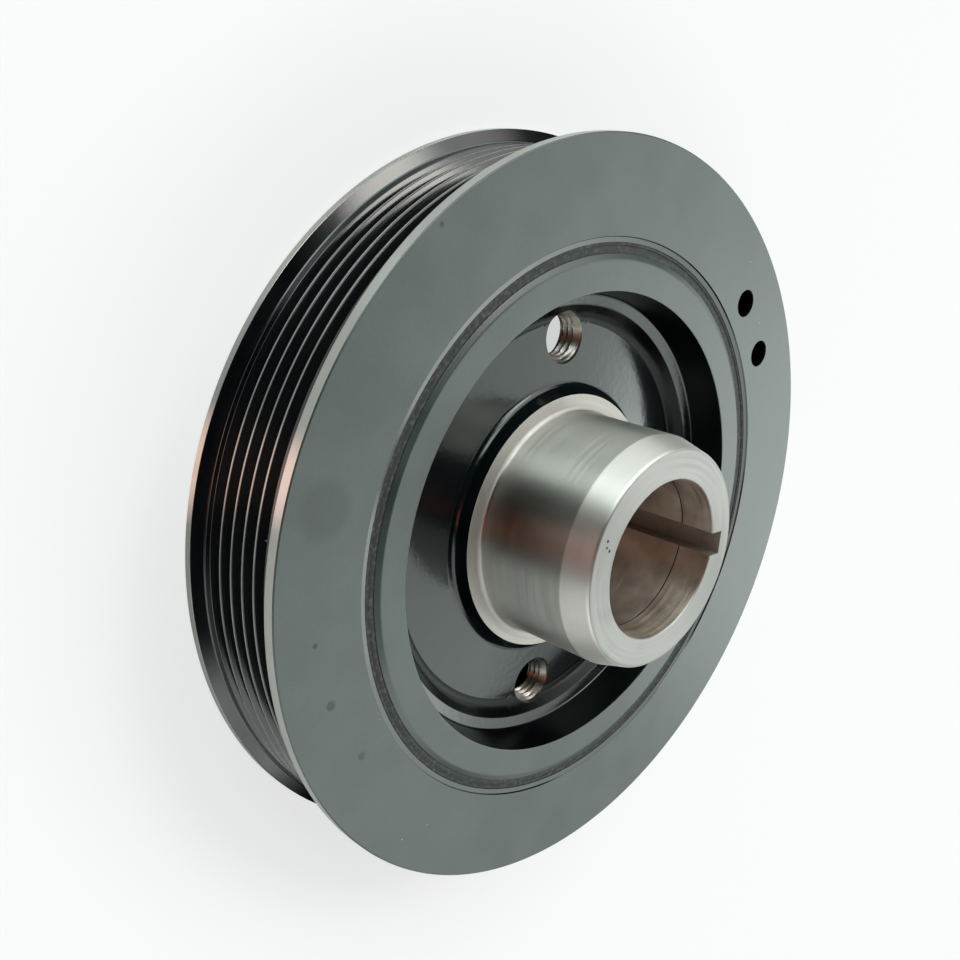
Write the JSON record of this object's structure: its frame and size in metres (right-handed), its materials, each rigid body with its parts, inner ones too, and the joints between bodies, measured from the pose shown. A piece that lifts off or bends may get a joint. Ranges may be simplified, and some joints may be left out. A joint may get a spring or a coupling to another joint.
{
  "type": "harmonic balancer",
  "caption": "Crankshaft damper pulley: a cast hub with a long machined snout, a thin bonded rubber ring, and an outer inertia ring grooved for a ribbed belt.",
  "frame": {"origin": "centre of the bottom of the bounding box: on the crankshaft axis, in the plane of the outer ring's rear face, on which the part stands", "axes": "+Z along the crankshaft axis towards the end of the snout; +X from the axis through the keyway; +Y completes the right-handed frame, through the first tapped hole"},
  "size_m": [0.162, 0.162, 0.0509],
  "materials": {
    "ring_paint": "gloss black paint on turned iron; both flange lands and the rib crests are bare, bright metal",
    "bonded_rubber": "matt black moulded rubber, slightly grainy",
    "hub_paint": "gloss black paint on cast iron; snout, boss face, bore and threads are bare machined metal"
  },
  "bodies": {
    "root": {"pulley_ring": "ring_paint", "rubber_ring": "bonded_rubber", "hub": "hub_paint"}
  },
  "joints": []
}
